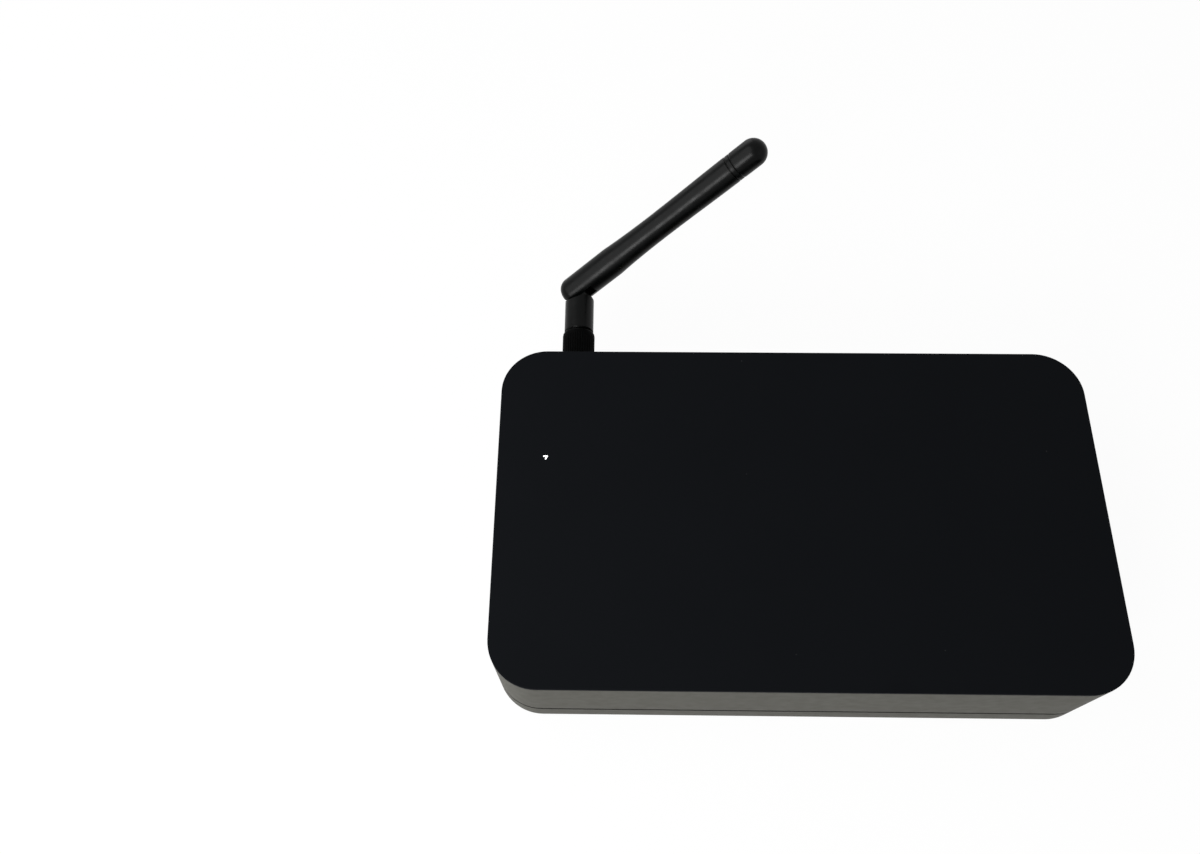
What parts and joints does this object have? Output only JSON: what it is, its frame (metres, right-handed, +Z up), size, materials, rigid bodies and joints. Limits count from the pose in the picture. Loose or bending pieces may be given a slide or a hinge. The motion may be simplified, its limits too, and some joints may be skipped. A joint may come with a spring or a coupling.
{
  "type": "wireless audio hub",
  "caption": "Slab-shaped wireless audio hub with a black top, grey case, rear audio inputs with dust shutters, and a screw-on antenna that swivels and tilts.",
  "frame": {"origin": "middle of the ring foot's underside, on the surface that the hub stands on", "axes": "+X to the hub's right seen from the front, +Y to its back with the sockets and the antenna, +Z up"},
  "size_m": [0.184, 0.1689, 0.0738],
  "materials": {
    "cover_black": "fine matt black",
    "housing_grey": "satin warm grey",
    "panel_black": "spark-eroded matt black",
    "foot_rubber": "matt black rubber",
    "screw_steel": "black zinc and plain steel",
    "board_green": "solder-masked glass fibre",
    "light_clear": "clear, lit white",
    "socket_metal": "nickel plated",
    "socket_black": "moulded black",
    "phono_white": "glossy white",
    "phono_red": "glossy red",
    "phono_orange": "glossy orange",
    "contact_gold": "gold plated",
    "antenna_black": "satin black",
    "coupling_black": "black plated",
    "insulator_white": "waxy white",
    "chip_black": "moulded black",
    "capacitor_can": "sleeved aluminium",
    "ferrite_grey": "sintered grey",
    "shield_tin": "tin plated",
    "pad_grey": "soft grey",
    "sink_black": "black anodised",
    "lead_grey": "smooth grey jacket"
  },
  "bodies": {
    "case": {"top_cover": "cover_black", "upper_housing": "housing_grey", "lower_housing": "housing_grey", "rear_panel": "panel_black", "foot_ring": "foot_rubber", "housing_screws": "screw_steel", "main_board": "board_green", "board_screws": "screw_steel", "light_pipe": "light_clear", "status_led": "light_clear", "hdmi_shell": "socket_metal", "hdmi_insulator": "socket_black", "usb_shell": "socket_metal", "usb_insulator": "socket_black", "optical_socket_1": "socket_black", "optical_socket_2": "socket_black", "optical_socket_3": "socket_black", "line_jack_body": "socket_black", "coax_jack_body": "socket_black", "phono_barrels": "contact_gold", "phono_insert_left": "phono_white", "phono_insert_right": "phono_red", "phono_insert_coax": "phono_orange", "phono_contacts": "contact_gold", "jack_screws": "screw_steel", "aux_jack_body": "socket_black", "aux_jack_bush": "socket_metal", "dc_jack_body": "socket_black", "dc_jack_pin": "socket_metal", "antenna_bulkhead": "contact_gold", "bulkhead_insulator": "insulator_white", "bulkhead_washer": "contact_gold", "bulkhead_nut": "contact_gold", "antenna_lead": "lead_grey", "lead_plug": "contact_gold", "radio_board": "board_green", "radio_shield": "shield_tin", "transmitter_board": "board_green", "transmitter_shield": "shield_tin", "board_headers": "chip_black", "processor": "chip_black", "thermal_pad": "pad_grey", "heat_sink": "sink_black", "board_capacitors": "capacitor_can", "board_inductors": "ferrite_grey", "board_chips": "chip_black"},
    "antenna_plug": {"antenna_plug_core": "contact_gold", "antenna_plug_insulator": "insulator_white", "antenna_feed_wire": "contact_gold"},
    "coupling_nut": {"coupling_nut": "coupling_black"},
    "swivel_base": {"swivel_base": "antenna_black"},
    "antenna_arm": {"antenna_arm": "antenna_black", "elbow_pin": "screw_steel", "antenna_tip_cap": "antenna_black", "antenna_radiator": "contact_gold"},
    "shutter_1": {"optical_shutter_1": "socket_black"},
    "shutter_2": {"optical_shutter_2": "socket_black"},
    "shutter_3": {"optical_shutter_3": "socket_black"}
  },
  "joints": [
    {"name": "plug_advance", "type": "slide", "parent": "case", "child": "antenna_plug", "axis": [0, 1, 0], "range_m": [0, 0.00282]},
    {"name": "nut_turn", "type": "hinge", "parent": "antenna_plug", "child": "coupling_nut", "pos_m": [-0.0684, 0.0574, 0.0254], "axis": [0, 1, 0], "range_deg": [0, 1440]},
    {"name": "antenna_swivel", "type": "hinge", "parent": "antenna_plug", "child": "swivel_base", "pos_m": [-0.0684, 0.0686, 0.0254], "axis": [0, 1, 0], "continuous": true},
    {"name": "antenna_tilt", "type": "hinge", "parent": "swivel_base", "child": "antenna_arm", "pos_m": [-0.0684, 0.0873, 0.0254], "axis": [0.6157, 0, -0.788], "range_deg": [-72.2, 17.8]},
    {"name": "shutter_1_open", "type": "hinge", "parent": "case", "child": "shutter_1", "pos_m": [-0.00172, 0.05005, 0.0207], "axis": [-1, 0, 0], "range_deg": [0, 80], "stiffness_Nm_per_rad": 0.00005, "springref_deg": -17.19},
    {"name": "shutter_2_open", "type": "hinge", "parent": "case", "child": "shutter_2", "pos_m": [0.01062, 0.05005, 0.0207], "axis": [-1, 0, 0], "range_deg": [0, 80], "stiffness_Nm_per_rad": 0.00005, "springref_deg": -17.19},
    {"name": "shutter_3_open", "type": "hinge", "parent": "case", "child": "shutter_3", "pos_m": [0.02295, 0.05005, 0.0207], "axis": [-1, 0, 0], "range_deg": [0, 80], "stiffness_Nm_per_rad": 0.00005, "springref_deg": -17.19}
  ],
  "couplings": [
    {"joint": "nut_turn", "follows": "plug_advance", "rad_per_m": 8905.3}
  ]
}
